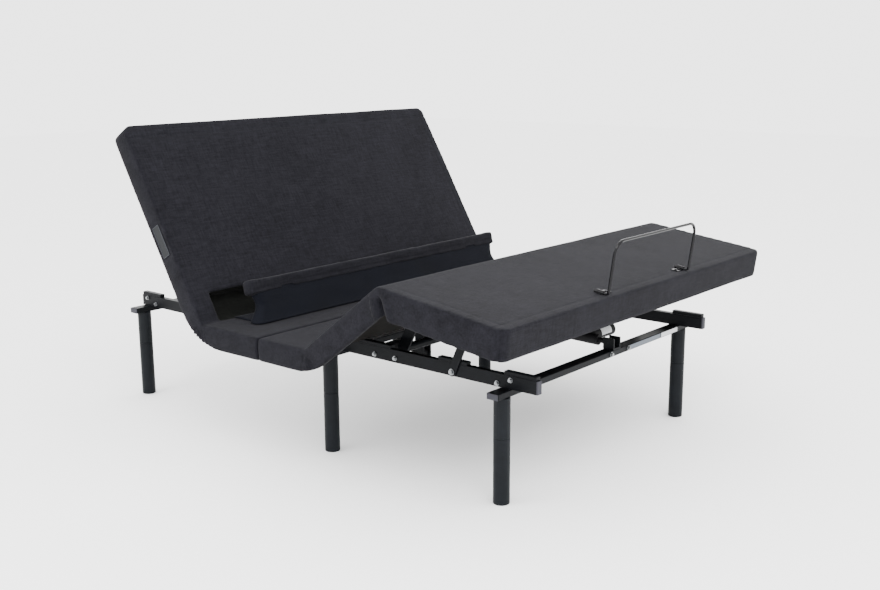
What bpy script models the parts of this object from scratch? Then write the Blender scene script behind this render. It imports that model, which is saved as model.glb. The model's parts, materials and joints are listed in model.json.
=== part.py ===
"""Adjustable bed base, queen size, with its back and legs raised.

Metres, +Z up, +Y towards the head of the bed. Every deck section is built flat in the
frame of its own hinge, and the hinge empties then turn the sections to the raised pose.
"""
import math

import bmesh
import bpy

GAP = 0.0003                    # between pieces that touch
FREE = 0.002                    # between pieces that move past each other

# Legs and steel frame
LEG_RADIUS = 0.025
LEG_LOWER = 0.200
LEG_UPPER = 0.122
LEG_X = 0.518
LEG_Y_HEAD = 0.903
LEG_Y_FOOT = -0.803
LEG_Y_MID_LEFT = -0.106
LEG_Y_MID_RIGHT = 0.065
RAIL_X = 0.490                  # middle of each side rail
RAIL_WIDTH = 0.020
RAIL_HEIGHT = 0.040
RAIL_WALL = 0.002
RAIL_HEAD = 0.932
RAIL_FOOT = -0.908
STUB_X = 0.562                  # how far the cross members reach out
MEMBER_WIDTH = 0.040
MEMBER_HEIGHT = 0.020
CAP_LENGTH = 0.006
BLOCK_HEIGHT = 0.012
BLOCK_LENGTH = 0.112

# Deck sections
DECK_WIDTH = 1.520
BACK_LENGTH = 0.730
SEAT_LENGTH = 0.482
THIGH_LENGTH = 0.372
CALF_LENGTH = 0.440
SEAT_HEAD = 0.238               # where the back hinges
SEAT_SPLIT = -0.035
PAD = 0.013
BOARD = 0.010
SKIRT = 0.022
DECK_DEPTH = 0.077
CALF_DEPTH = 0.091
KNEE_DEPTH = 0.018              # the knee hinge below the top of the deck
EDGE_RADIUS = 0.010

# Raised pose
BACK_ANGLE = math.radians(59.5)
THIGH_ANGLE = math.radians(37.6)
KNEE_ANGLE = math.radians(45.3)
MITRE = math.radians(24.5)      # slope of the skirts' ends at the knee

# Lumbar support, in the back's frame
LUMBAR_WIDTH = 1.270
LUMBAR_DEPTH = 0.045
LUMBAR_THICK = 0.034
LUMBAR_EDGE = 0.030             # closed, its free edge stands this far from the back hinge
LUMBAR_DROP = 0.014             # the carriage's tube below the closed bar
LUMBAR_OUT = (0.0643, 0.1656)   # the top of the free edge when the support is out
LUMBAR_TILT = math.radians(74.5)
ROD_X = 0.450
ROD_LENGTH = 0.215               # the rods still reach their guides when the support is out
CARRIAGE_HALF = 0.470           # the carriage passes between the rails when the back lies flat
RECESS_HALF = 0.685             # the opening in the back that the support comes out of
RECESS_MARGIN = 0.028           # from the closed bar to the opening's far edge

# Lifting gear
STRUT_Y = -0.606
STRUT_UP = 0.014                # its pivot above the cross members
STRUT_LENGTH = 0.221
STRUT_LEAN = math.radians(24.0)
STRUT_WIDTH = 0.028
STRUT_THICK = 0.005
HEAD_PIN_DOWN = 0.087           # the pin below the cross member
HEAD_LUG = (0.060, -0.160)      # in the back's frame
FOOT_PIN_Y = -0.790
FOOT_PIN_UP = 0.020
TORSION = (-0.055, -0.103)      # the lift frame's tube, in the thigh's frame
FOOT_LUG = (-0.084, -0.123)     # the pin on its lugs
HEAD_X = -0.060
FOOT_X = 0.070
BACK_BAR_X = 0.430
BACK_BAR_Y = 0.185
BACK_BAR_END = 0.640
BAR_SIZE = 0.025
LUG_SPACE = 0.030
LUG_THICK = 0.006
TORSION_RADIUS = 0.014
ARM_X = 0.440
GUIDE_ARM_Z = -0.0358           # where the lumbar guides meet the back bars

# Mattress retainer bar, in the calf section's frame
BAR_RADIUS = 0.0045
BAR_HALF = 0.240
BAR_HEIGHT = 0.157
BAR_CORNER = 0.040
BAR_INSET = 0.014

BED_SHIFT = 0.0334              # puts the raised bed's box on the origin

LEG_TOP = LEG_LOWER + LEG_UPPER
MEMBER_TOP = LEG_TOP + MEMBER_HEIGHT
RAIL_TOP = MEMBER_TOP + RAIL_HEIGHT
BOARD_BOTTOM = RAIL_TOP + BLOCK_HEIGHT + 0.001
TOP = BOARD_BOTTOM + BOARD + PAD
SEAT_FOOT = SEAT_HEAD - SEAT_LENGTH
STRUT_PIVOT = (STRUT_Y, MEMBER_TOP + STRUT_UP)
HEAD_PIN = (LEG_Y_MID_LEFT, LEG_TOP - HEAD_PIN_DOWN)
FOOT_PIN = (FOOT_PIN_Y, MEMBER_TOP + FOOT_PIN_UP)
LUMBAR_PIVOT = (LUMBAR_EDGE + LUMBAR_DEPTH / 2, -LUMBAR_THICK - LUMBAR_DROP)     # closed
HALF = DECK_WIDTH / 2
SIDES = (("left", -1), ("right", 1))


def clear_scene():
    for thing in list(bpy.data.objects):
        bpy.data.objects.remove(thing, do_unlink=True)


def new_collection(name):
    collection = bpy.data.collections.new(name)
    bpy.context.scene.collection.children.link(collection)
    return collection


def material(name, color, metallic, roughness):
    mat = bpy.data.materials.new(name)
    mat.use_nodes = True
    shader = mat.node_tree.nodes["Principled BSDF"]
    shader.inputs["Base Color"].default_value = (*color, 1)
    shader.inputs["Metallic"].default_value = metallic
    shader.inputs["Roughness"].default_value = roughness
    return mat


clear_scene()
parts = new_collection("adjustable_bed_base")
cutters = new_collection("cutters")
COLORS = {
    "steel": ((0.022, 0.023, 0.026), 0.6, 0.45),
    "plastic": ((0.20, 0.20, 0.24), 0.0, 0.5),
    "linen": ((0.042, 0.038, 0.044), 0.0, 0.9),
    "board": ((0.42, 0.30, 0.18), 0.0, 0.7),
    "stretch": ((0.010, 0.013, 0.026), 0.0, 0.8),
    "zinc": ((0.62, 0.63, 0.64), 1.0, 0.35),
    "silver": ((0.30, 0.33, 0.36), 0.3, 0.4),
}
bed = bpy.data.objects.new("bed", None)
parts.objects.link(bed)
bed.location = (0, BED_SHIFT, 0)


def hinge(name, y, z, angle, parent=bed):
    """An empty on a hinge line along X."""
    empty = bpy.data.objects.new(name, None)
    parts.objects.link(empty)
    empty.parent = parent
    empty.location = (0, y, z)
    empty.rotation_euler = (angle, 0, 0)
    return empty


def add(name, data, kind, parent=None, collection=None):
    """Link a new object; each piece gets a material of its own."""
    thing = bpy.data.objects.new(name, data)
    (collection or parts).objects.link(thing)
    thing.parent = parent or bed
    if kind:
        data.materials.append(material(name, *COLORS[kind]))
    return thing


def box_mesh(name, size):
    mesh = bpy.data.meshes.new(name)
    bm = bmesh.new()
    bmesh.ops.create_cube(bm, size=1)
    bmesh.ops.scale(bm, verts=bm.verts, vec=size)
    bm.to_mesh(mesh)
    bm.free()
    return mesh


def box(name, kind, low, high, parent=None, bevel=0.0, collection=None):
    """A box between two corners in its parent's frame."""
    size = [b - a for a, b in zip(low, high)]
    thing = add(name, box_mesh(name, size), kind, parent, collection)
    thing.location = [(a + b) / 2 for a, b in zip(low, high)]
    if bevel:
        edge = thing.modifiers.new("edge", "BEVEL")
        edge.width = bevel
        edge.segments = 2
    return thing


def cutter(name, low, high, parent=None):
    thing = box(name, None, low, high, parent, collection=cutters)
    thing.hide_render = True
    thing.display_type = "WIRE"
    return thing


def cut(thing, *tools):
    for tool in tools:
        step = thing.modifiers.new(tool.name, "BOOLEAN")
        step.operation = "DIFFERENCE"
        step.object = tool


def join(thing, *others):
    """Fuse welded pieces into one body; the joined ones become guides."""
    for other in others:
        step = thing.modifiers.new(other.name, "BOOLEAN")
        step.operation = "UNION"
        step.object = other
        parts.objects.unlink(other)
        cutters.objects.link(other)
        other.hide_render = True
        other.display_type = "WIRE"


def smooth(mesh):
    mesh.shade_smooth()
    mesh.set_sharp_from_angle(angle=math.radians(35))


def cylinder(name, kind, radius, start, end, parent=None, bevel=0.0, sides=24, x=0.0):
    """A round bar from start to end, which are (x, y, z) in the parent's frame."""
    run = [b - a for a, b in zip(start, end)]
    length = math.sqrt(sum(c * c for c in run))
    mesh = bpy.data.meshes.new(name)
    bm = bmesh.new()
    bmesh.ops.create_cone(bm, cap_ends=True, segments=sides, radius1=radius,
                          radius2=radius, depth=length)
    bm.to_mesh(mesh)
    bm.free()
    smooth(mesh)
    thing = add(name, mesh, kind, parent)
    thing.location = [(a + b) / 2 + (x if i == 0 else 0) for i, (a, b) in enumerate(zip(start, end))]
    thing.rotation_euler = (math.atan2(-run[1], run[2]) if not run[0] else 0,
                            math.pi / 2 if run[0] else 0, 0)
    if bevel:
        edge = thing.modifiers.new("edge", "BEVEL")
        edge.width = bevel
        edge.segments = 2
        edge.limit_method = "ANGLE"
    return thing


def polyline(curve, points):
    spline = curve.splines.new("POLY")
    spline.points.add(len(points) - 1)
    for point, place in zip(spline.points, points):
        point.co = (*place, *([0] * (3 - len(place))), 1)
    return spline


def outline(name, kind, loops, thick, parent=None):
    """A flat plate from closed 2D loops; the inner loops are its holes."""
    curve = bpy.data.curves.new(name, "CURVE")
    curve.dimensions = "2D"
    curve.fill_mode = "BOTH"
    curve.extrude = thick / 2
    for loop in loops:
        polyline(curve, loop).use_cyclic_u = True
    return add(name, curve, kind, parent)


def rectangle(width, height):
    return [(-width / 2, -height / 2), (width / 2, -height / 2),
            (width / 2, height / 2), (-width / 2, height / 2)]


def rail_tube(name, x, parent=None):
    """A hollow rectangular tube along Y, open at its ends."""
    outer = rectangle(RAIL_WIDTH, RAIL_HEIGHT)
    inner = rectangle(RAIL_WIDTH - 2 * RAIL_WALL, RAIL_HEIGHT - 2 * RAIL_WALL)
    tube = outline(name, "steel", [outer, inner], RAIL_HEAD - RAIL_FOOT, parent)
    tube.rotation_euler = (math.pi / 2, 0, 0)
    tube.location = (x, (RAIL_HEAD + RAIL_FOOT) / 2, MEMBER_TOP + RAIL_HEIGHT / 2 + GAP)
    return tube


def bar_outline(a, b, width):
    """A flat bar with round ends between two eyes, as a closed loop."""
    heading = math.atan2(b[1] - a[1], b[0] - a[0])
    loop = []
    for centre, turn in ((b, -math.pi / 2), (a, math.pi / 2)):
        for i in range(9):
            angle = heading + turn + math.pi * i / 8
            loop.append((centre[0] + width / 2 * math.cos(angle),
                         centre[1] + width / 2 * math.sin(angle)))
    return loop


def flat_bar(name, kind, a, b, width, thick, x, parent=None):
    """A plate in the YZ plane at x, from eye a to eye b, given as (y, z)."""
    plate = outline(name, kind, [bar_outline(a, b, width)], thick, parent)
    plate.rotation_euler = (math.pi / 2, 0, math.pi / 2)
    plate.location = (x, 0, 0)
    return plate


def make_solid(thing):
    """Turn a curve into a mesh, so that it can be joined to another piece."""
    graph = bpy.context.evaluated_depsgraph_get()
    mesh = bpy.data.meshes.new_from_object(thing.evaluated_get(graph))
    bm = bmesh.new()
    bm.from_mesh(mesh)
    bmesh.ops.remove_doubles(bm, verts=bm.verts, dist=0.00001)
    bm.to_mesh(mesh)
    bm.free()
    name = thing.name
    parent, place, turn = thing.parent, thing.location[:], thing.rotation_euler[:]
    bpy.data.objects.remove(thing, do_unlink=True)
    solid = bpy.data.objects.new(name, mesh)
    parts.objects.link(solid)
    solid.parent, solid.location, solid.rotation_euler = parent, place, turn
    return solid


# ---- steel frame ----

def build_legs():
    places = (("foot", "left", LEG_Y_FOOT), ("foot", "right", LEG_Y_FOOT),
              ("mid", "left", LEG_Y_MID_LEFT), ("mid", "right", LEG_Y_MID_RIGHT),
              ("head", "left", LEG_Y_HEAD), ("head", "right", LEG_Y_HEAD))
    for row, side, y in places:
        x = dict(SIDES)[side] * LEG_X
        cylinder(f"leg_lower_{row}_{side}", "steel", LEG_RADIUS, (x, y, 0),
                 (x, y, LEG_LOWER), bevel=0.0015)
        cylinder(f"leg_upper_{row}_{side}", "steel", LEG_RADIUS, (x, y, LEG_LOWER + GAP),
                 (x, y, LEG_TOP - GAP), bevel=0.0015)


def build_members():
    """Flat cross members under the rails; each leg hangs from an end that reaches out."""
    inner = RAIL_X + RAIL_WIDTH / 2
    for name, y, reach_left, reach_right in (
            ("foot", LEG_Y_FOOT, STUB_X, STUB_X), ("mid_left", LEG_Y_MID_LEFT, STUB_X, inner),
            ("mid_right", LEG_Y_MID_RIGHT, inner, STUB_X), ("head", LEG_Y_HEAD, STUB_X, STUB_X)):
        box(f"cross_member_{name}", "steel", (-reach_left, y - MEMBER_WIDTH / 2, LEG_TOP),
            (reach_right, y + MEMBER_WIDTH / 2, MEMBER_TOP), bevel=0.002)


def build_rails():
    for side, sign in SIDES:
        rail_tube(f"side_rail_{side}", sign * RAIL_X)
        low = (sign * RAIL_X - RAIL_WIDTH / 2, RAIL_FOOT - CAP_LENGTH, MEMBER_TOP + GAP)
        high = (sign * RAIL_X + RAIL_WIDTH / 2, RAIL_FOOT - GAP, RAIL_TOP + GAP)
        box(f"rail_cap_foot_{side}", "plastic", low, high, bevel=0.0015)


def block(name, x, y_low, y_high):
    box(name, "steel", (x - RAIL_WIDTH / 2, y_low, RAIL_TOP + 2 * GAP),
        (x + RAIL_WIDTH / 2, y_high, RAIL_TOP + BLOCK_HEIGHT), bevel=0.0015)


def build_blocks():
    """Short pieces on the rails that carry the deck when it lies flat."""
    for side, sign in SIDES:
        x = sign * RAIL_X
        block(f"seat_bearer_{side}", x, SEAT_FOOT - BLOCK_LENGTH, SEAT_HEAD - 0.040)
        block(f"rest_block_knee_{side}", x, -0.660, -0.660 + BLOCK_LENGTH)
        block(f"rest_block_foot_{side}", x, RAIL_FOOT, RAIL_FOOT + BLOCK_LENGTH)
        block(f"rest_block_head_{side}", x, RAIL_HEAD - BLOCK_LENGTH, RAIL_HEAD - 0.004)


def motor_bracket(name, x, pin, member_y, low, high):
    """A clevis: two cheeks on a base plate against a cross member."""
    half = LUG_SPACE / 2 + LUG_THICK
    base_z = MEMBER_TOP + GAP if pin[1] > MEMBER_TOP else LEG_TOP - GAP
    side = 1 if pin[1] > MEMBER_TOP else -1
    block_low = (x - half, member_y - MEMBER_WIDTH / 2, min(base_z, base_z + side * 0.005))
    block_high = (x + half, member_y + MEMBER_WIDTH / 2, max(base_z, base_z + side * 0.005))
    base = box(name, "steel", block_low, block_high)
    for tag, sign in (("a", -1), ("b", 1)):
        centre = x + sign * (LUG_SPACE + LUG_THICK) / 2
        cheek = box(f"{name}_cheek_{tag}", None,
                    (centre - LUG_THICK / 2, member_y - MEMBER_WIDTH / 2, low),
                    (centre + LUG_THICK / 2, member_y + MEMBER_WIDTH / 2, high))
        join(base, cheek)


def build_brackets():
    motor_bracket("foot_motor_bracket", FOOT_X, FOOT_PIN, LEG_Y_FOOT,
                  MEMBER_TOP + GAP, FOOT_PIN[1] + 0.018)
    motor_bracket("head_motor_bracket", HEAD_X, HEAD_PIN, LEG_Y_MID_LEFT,
                  HEAD_PIN[1] - 0.018, LEG_TOP - GAP)


def build_control_box():
    box("control_box", "plastic", (0.10, -0.080, BOARD_BOTTOM - 0.050),
        (0.34, 0.040, BOARD_BOTTOM - GAP), bevel=0.004)


# ---- deck sections ----

def tray(name, parent, low_y, high_y, top, depth, ends=()):
    """A padded cover: a top layer with skirts down its sides and, if listed, its ends."""
    shell = box(name, "linen", (-HALF, low_y, top - depth), (HALF, high_y, top), parent,
                bevel=EDGE_RADIUS if ends else 0.006)
    inside_low = low_y + SKIRT if "foot" in ends else low_y - 0.05
    inside_high = high_y - SKIRT if "head" in ends else high_y + 0.05
    room = cutter(f"{name}_room", (-HALF + SKIRT, inside_low, top - depth - 0.05),
                  (HALF - SKIRT, inside_high, top - PAD), parent)
    cut(shell, room)
    return shell


def board(name, parent, low_y, high_y, top):
    side = HALF - SKIRT - FREE
    return box(name, "board", (-side, low_y, top - PAD - BOARD), (side, high_y, top - PAD - GAP),
               parent)


def build_seat():
    tray("seat_pad_head", None, SEAT_SPLIT + FREE, SEAT_HEAD - GAP * 2, TOP, DECK_DEPTH)
    tray("seat_pad_foot", None, SEAT_FOOT + GAP * 2, SEAT_SPLIT - FREE, TOP, DECK_DEPTH)
    board("seat_board", None, SEAT_FOOT + FREE, SEAT_HEAD - FREE, TOP)


def lumbar_notch(name, parent):
    return cutter(name, (-RECESS_HALF, -0.05, -0.2),
                  (RECESS_HALF, LUMBAR_EDGE + LUMBAR_DEPTH + RECESS_MARGIN, 0.05), parent)


def build_back(axis):
    pad = tray("back_pad", axis, GAP * 2, BACK_LENGTH, 0, DECK_DEPTH, ends=("head",))
    cut(pad, lumbar_notch("pad_notch", axis))
    panel = board("back_board", axis, FREE, BACK_LENGTH - SKIRT - FREE, 0)
    cut(panel, lumbar_notch("board_notch", axis))
    build_back_frame(axis)
    box("side_tag", "silver", (-HALF - 0.0016, 0.262, -0.056), (-HALF - GAP, 0.372, -0.020), axis,
        bevel=0.0005)


def build_back_frame(axis):
    """Steel bars behind the back, and the arms that its actuator pushes."""
    under = -PAD - BOARD - GAP
    low = under - BAR_SIZE
    near = BACK_BAR_Y - GAP
    frame = box("back_frame", "steel", (-BACK_BAR_X, near - BAR_SIZE, low), (BACK_BAR_X, near, under), axis)
    arms = []
    for side, sign in SIDES:
        edges = sorted((sign * BACK_BAR_X, sign * (BACK_BAR_X - BAR_SIZE)))
        box(f"back_bar_{side}", "steel", (edges[0], BACK_BAR_Y, low), (edges[1], BACK_BAR_END, under), axis,
            bevel=0.0015)
        x = HEAD_X + sign * (LUG_SPACE + LUG_THICK) / 2
        arm = flat_bar(f"back_arm_{side}", None, (near - BAR_SIZE / 2, low + 0.006), HEAD_LUG, 0.036,
                       LUG_THICK, x, axis)
        arms.append(make_solid(arm))
    join(frame, *arms)


def build_thigh(axis):
    pad = tray("thigh_pad", axis, -THIGH_LENGTH, -GAP * 2, 0, DECK_DEPTH)
    end = board("thigh_board", axis, -THIGH_LENGTH + FREE, -FREE, 0)
    cut(pad, mitre("thigh_mitre", axis, -THIGH_LENGTH, -KNEE_DEPTH, -1))
    cut(end, mitre("thigh_board_mitre", axis, -THIGH_LENGTH, -KNEE_DEPTH, -1))
    build_lift_frame(axis)


def mitre(name, parent, y, z, side):
    """A half space beside the knee hinge, so that the sections can fold towards each other."""
    reach = 0.3
    thing = cutter(name, (-1, -reach / 2, -reach / 2), (1, reach / 2, reach / 2), parent)
    offset = reach / 2 - FREE / 2
    thing.rotation_euler = (-side * MITRE, 0, 0)
    thing.location = (0, y + side * offset * math.cos(MITRE), z - offset * math.sin(MITRE))
    return thing


def build_lift_frame(axis):
    """Two arms and the torsion tube that the foot actuator pulls to raise the thighs."""
    under = -PAD - BOARD - GAP
    tube = cylinder("thigh_lift_frame", "steel", TORSION_RADIUS, (-ARM_X, *TORSION),
                    (ARM_X, *TORSION), axis, sides=16)
    joined = []
    for side, sign in SIDES:
        x = sign * (ARM_X - 0.004)
        arm = flat_bar(f"lift_arm_{side}", None, (-0.180, under - 0.021), TORSION, 0.040,
                       0.008, x, axis)
        joined.append(make_solid(arm))
        joined.append(box(f"lift_foot_{side}", None, (x - 0.015, -0.235, under - 0.006),
                          (x + 0.015, -0.125, under), axis))
        lug_x = FOOT_X + sign * (LUG_SPACE + LUG_THICK) / 2
        lug = flat_bar(f"lift_lug_{side}", None, TORSION, FOOT_LUG, 0.034, LUG_THICK, lug_x, axis)
        joined.append(make_solid(lug))
    join(tube, *joined)


def build_calf(axis):
    top = KNEE_DEPTH
    pad = tray("calf_pad", axis, -CALF_LENGTH, -GAP * 2, top, CALF_DEPTH, ends=("foot",))
    cut(pad, mitre("calf_mitre", axis, 0, 0, 1))
    panel = board("calf_board", axis, -CALF_LENGTH + SKIRT + FREE, -FREE, top)
    cut(panel, mitre("calf_board_mitre", axis, 0, 0, 1))
    build_retainer(axis, top)


def round_corner(centre, radius, start, turn, steps=6):
    """Points of an arc in the XZ plane."""
    return [(centre[0] + radius * math.cos(start + turn * i / steps), 0,
             centre[1] + radius * math.sin(start + turn * i / steps)) for i in range(steps + 1)]


def build_retainer(axis, top):
    """A bent rod that stops the mattress sliding off the foot end."""
    curve = bpy.data.curves.new("retainer_bar", "CURVE")
    curve.dimensions = "3D"
    curve.bevel_depth = BAR_RADIUS
    curve.bevel_resolution = 2
    curve.use_fill_caps = True
    base = top + BAR_RADIUS + GAP
    y = -CALF_LENGTH + BAR_INSET
    rise = base + BAR_HEIGHT - BAR_CORNER
    left = [(-BAR_HALF, y + 0.048, base), (-BAR_HALF, y + 0.008, base),
            (-BAR_HALF, y + 0.0023, base + 0.0023), (-BAR_HALF, y, base + 0.008)]
    corner = round_corner((-BAR_HALF + BAR_CORNER, rise), BAR_CORNER, math.pi, -math.pi / 2)
    left += [(x, y, z) for x, _, z in corner]
    right = [(-x, b, z) for x, b, z in reversed(left)]
    polyline(curve, left + right)
    add("retainer_bar", curve, "steel", axis)


# ---- lumbar support ----

def build_lumbar(back):
    """A padded board on a carriage that slides out of the back and tips the board level."""
    closed_y, closed_z = LUMBAR_PIVOT
    open_y, open_z = rest_point(LUMBAR_OUT, -LUMBAR_TILT, (closed_y - LUMBAR_EDGE, closed_z))
    slide = hinge("lumbar_carriage_axis", open_y, open_z, 0, back)
    heading = math.atan2(open_z - closed_z, open_y - closed_y)
    run = (-math.cos(heading), -math.sin(heading))
    tube = cylinder("lumbar_carriage", "steel", 0.009, (-CARRIAGE_HALF, 0, 0), (CARRIAGE_HALF, 0, 0), slide,
                    sides=16)
    rods = []
    for side, sign in SIDES:
        rod = cylinder(f"lumbar_rod_{side}", None, 0.007, (0, 0, 0),
                       (0, run[0] * ROD_LENGTH, run[1] * ROD_LENGTH), slide, sides=12, x=sign * ROD_X)
        rods.append(rod)
        guide_at = [(closed_y + run[0] * s, closed_z + run[1] * s) for s in (0.018, 0.038)]
        guide = cylinder(f"lumbar_guide_{side}", "steel", 0.013, (0, *guide_at[0]),
                         (0, *guide_at[1]), back, sides=20, x=sign * ROD_X)
        bore = cylinder(f"guide_bore_{side}", None, 0.0085, (0, guide_at[0][0] - run[0] * 0.01,
                        guide_at[0][1] - run[1] * 0.01), (0, guide_at[1][0] + run[0] * 0.01,
                        guide_at[1][1] + run[1] * 0.01), back, sides=20, x=sign * ROD_X)
        middle = [(a + b) / 2 for a, b in zip(*guide_at)]
        arm = flat_bar(f"guide_arm_{side}", None, middle, (BACK_BAR_Y + 0.020, GUIDE_ARM_Z), 0.024, 0.010,
                       sign * (BACK_BAR_X + GAP + 0.005), back)
        join(guide, make_solid(arm))
        cut(guide, bore)
        to_cutters(bore)
    join(tube, *rods)
    tip = hinge("lumbar_axis", 0, 0, -LUMBAR_TILT, slide)
    low = (-LUMBAR_WIDTH / 2, LUMBAR_EDGE - closed_y, -closed_z - LUMBAR_THICK)
    high = (LUMBAR_WIDTH / 2, LUMBAR_EDGE + LUMBAR_DEPTH - closed_y, -closed_z)
    box("lumbar_board", "linen", low, high, tip, bevel=0.010)


def to_cutters(thing):
    parts.objects.unlink(thing)
    cutters.objects.link(thing)
    thing.hide_render = True
    thing.display_type = "WIRE"


def build_sleeve():
    """The stretch curtain from the lumbar board down to the seat, as a plain panel."""
    box("lumbar_sleeve", "stretch", (-0.610, 0.082, TOP + 0.002), (0.610, 0.088, TOP + 0.090))


# ---- struts and actuators ----

def build_struts():
    end = (STRUT_PIVOT[0] - STRUT_LENGTH * math.sin(STRUT_LEAN),
           STRUT_PIVOT[1] + STRUT_LENGTH * math.cos(STRUT_LEAN))
    for side, sign in SIDES:
        x = sign * (RAIL_X + RAIL_WIDTH / 2 + GAP + STRUT_THICK / 2)
        flat_bar(f"strut_{side}", "steel", STRUT_PIVOT, end, STRUT_WIDTH, STRUT_THICK, x)


def build_strut_brackets(calf, top):
    """Plates under the calf board that the struts' upper eyes run beside."""
    for side, sign in SIDES:
        x = sign * (RAIL_X + RAIL_WIDTH / 2 + STRUT_THICK + 0.005)
        low = top - PAD - BOARD - GAP
        box(f"strut_bracket_{side}", "steel", (x - 0.002, -0.185, low - 0.048),
            (x + 0.002, -0.125, low), calf, bevel=0.0008)


def along(start, end, distance):
    length = math.dist(start, end)
    return [a + (b - a) * distance / length for a, b in zip(start, end)]


def build_actuator(prefix, x, pin, lug, motor_side, tube_length):
    """A pinned housing with its motor across it, and the rod that slides in it."""
    nose = along(pin, lug, tube_length)
    body = cylinder(f"{prefix}_motor", "steel", 0.018, (0, *along(pin, lug, 0.035)), (0, *nose),
                    x=x, sides=20)
    bore = cylinder(f"{prefix}_bore", None, 0.0105, (0, *along(pin, lug, 0.045)),
                    (0, *along(pin, lug, tube_length + 0.02)), x=x, sides=20)
    eye = cylinder(f"{prefix}_eye", None, 0.012, (x - 0.012, *pin), (x + 0.012, *pin), sides=16)
    neck = cylinder(f"{prefix}_neck", None, 0.009, (0, *pin), (0, *along(pin, lug, 0.06)), x=x, sides=16)
    across = along(pin, lug, 0.085)
    ends = sorted((x + motor_side * 0.005, x + motor_side * 0.150))
    motor = cylinder(f"{prefix}_can", None, 0.021, (ends[0], *across), (ends[1], *across), sides=20)
    join(body, motor, eye)
    cut(body, bore)
    to_cutters(bore)
    join(body, neck)


def build_rod(prefix, x, pin, lug, reach):
    rod = cylinder(f"{prefix}_rod", "zinc", 0.0095, (0, *along(pin, lug, reach)),
                   (0, *lug), x=x, sides=16)
    eye = cylinder(f"{prefix}_rod_eye", None, 0.011, (x - 0.011, *lug), (x + 0.011, *lug), sides=16)
    join(rod, eye)


def rest_point(origin, angle, local):
    y, z = local
    return (origin[0] + y * math.cos(angle) - z * math.sin(angle),
            origin[1] + y * math.sin(angle) + z * math.cos(angle))


def main():
    back = hinge("back_axis", SEAT_HEAD, TOP, BACK_ANGLE)
    thigh = hinge("thigh_axis", SEAT_FOOT, TOP, -THIGH_ANGLE)
    calf = hinge("knee_axis", -THIGH_LENGTH, -KNEE_DEPTH, KNEE_ANGLE, thigh)
    build_legs()
    build_members()
    build_rails()
    build_blocks()
    build_brackets()
    build_control_box()
    build_seat()
    build_back(back)
    build_lumbar(back)
    build_sleeve()
    build_thigh(thigh)
    build_calf(calf)
    build_struts()
    build_strut_brackets(calf, KNEE_DEPTH)
    head_lug = rest_point((SEAT_HEAD, TOP), BACK_ANGLE, HEAD_LUG)
    foot_lug = rest_point((SEAT_FOOT, TOP), -THIGH_ANGLE, FOOT_LUG)
    build_actuator("head", HEAD_X, HEAD_PIN, head_lug, -1, 0.330)
    build_rod("head", HEAD_X, HEAD_PIN, head_lug, 0.200)
    build_actuator("foot", FOOT_X, FOOT_PIN, foot_lug, 1, 0.330)
    build_rod("foot", FOOT_X, FOOT_PIN, foot_lug, 0.200)


main()
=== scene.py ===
"""Adjustable bed base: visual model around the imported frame."""
import json
import math

import bmesh
import bpy
import numpy as np
from mathutils import Matrix, Vector, noise


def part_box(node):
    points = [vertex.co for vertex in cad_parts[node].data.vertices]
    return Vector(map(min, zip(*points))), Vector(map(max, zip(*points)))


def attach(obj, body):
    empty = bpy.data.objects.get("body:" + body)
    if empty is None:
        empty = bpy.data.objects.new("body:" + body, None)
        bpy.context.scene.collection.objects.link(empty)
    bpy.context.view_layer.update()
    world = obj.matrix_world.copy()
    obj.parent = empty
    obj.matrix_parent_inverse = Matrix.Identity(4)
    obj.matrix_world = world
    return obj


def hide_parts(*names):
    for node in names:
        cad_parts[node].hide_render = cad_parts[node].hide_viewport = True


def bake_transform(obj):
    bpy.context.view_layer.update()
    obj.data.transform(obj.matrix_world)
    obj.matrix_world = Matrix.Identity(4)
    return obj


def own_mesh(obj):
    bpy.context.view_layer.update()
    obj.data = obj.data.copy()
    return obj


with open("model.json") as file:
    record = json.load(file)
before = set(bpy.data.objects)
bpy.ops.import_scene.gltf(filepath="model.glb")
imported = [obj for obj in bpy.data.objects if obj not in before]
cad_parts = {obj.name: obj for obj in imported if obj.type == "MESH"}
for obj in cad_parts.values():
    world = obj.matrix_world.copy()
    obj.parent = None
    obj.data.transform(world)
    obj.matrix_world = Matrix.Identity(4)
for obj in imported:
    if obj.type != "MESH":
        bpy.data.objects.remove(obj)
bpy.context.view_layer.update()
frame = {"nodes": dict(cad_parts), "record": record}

RECORD = frame["record"]
JOINTS = {j["name"]: j for j in RECORD["behaviour"]["joints"]}
RATIOS = {c["joint"]: c["ratio"] for c in RECORD["behaviour"]["couplings"]}

# ---- camera ----

CAMERA_PLACE = (-2.9632, -2.6059, 1.2863)
CAMERA_TURN = -49.805           # about +Z, from +Y
CAMERA_DROP = 12.317
CAMERA_ROLL = -0.283
LENS = 45.76


def make_camera():
    data = bpy.data.cameras.new("camera")
    data.lens = LENS
    data.sensor_width = 36
    camera = bpy.data.objects.new("camera", data)
    turn = (Matrix.Rotation(math.radians(CAMERA_TURN), 4, "Z")
            @ Matrix.Rotation(math.radians(90 - CAMERA_DROP), 4, "X")
            @ Matrix.Rotation(math.radians(CAMERA_ROLL), 4, "Z"))
    camera.matrix_world = Matrix.Translation(CAMERA_PLACE) @ turn
    bpy.context.scene.collection.objects.link(camera)
    bpy.context.scene.camera = camera


# ---- deck frames: each section's own axes in the YZ plane ----

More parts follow.
